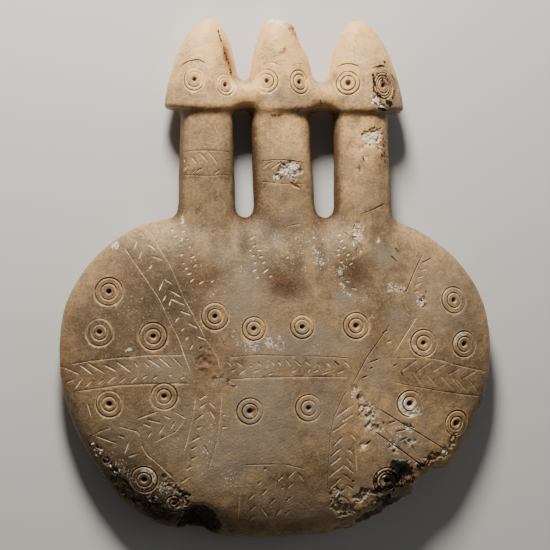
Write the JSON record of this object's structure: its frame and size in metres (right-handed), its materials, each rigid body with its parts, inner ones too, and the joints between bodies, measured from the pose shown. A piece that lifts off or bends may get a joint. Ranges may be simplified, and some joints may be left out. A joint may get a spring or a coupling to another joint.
{
  "type": "disc-shaped stone idol",
  "caption": "Flat alabaster disc idol with capped heads on tall necks, drilled dot-and-circle marks, incised bands and broken edges, lying on its back.",
  "frame": {"origin": "in the plane of the flat back, under the middle of the outline's box", "axes": "+Y from the disc towards the heads, +X to the right as the face is seen, +Z out of the face, up as it lies"},
  "size_m": [0.1706, 0.2028, 0.024],
  "materials": {
    "alabaster": "satin"
  },
  "bodies": {
    "root": {"idol": "alabaster"}
  },
  "joints": []
}
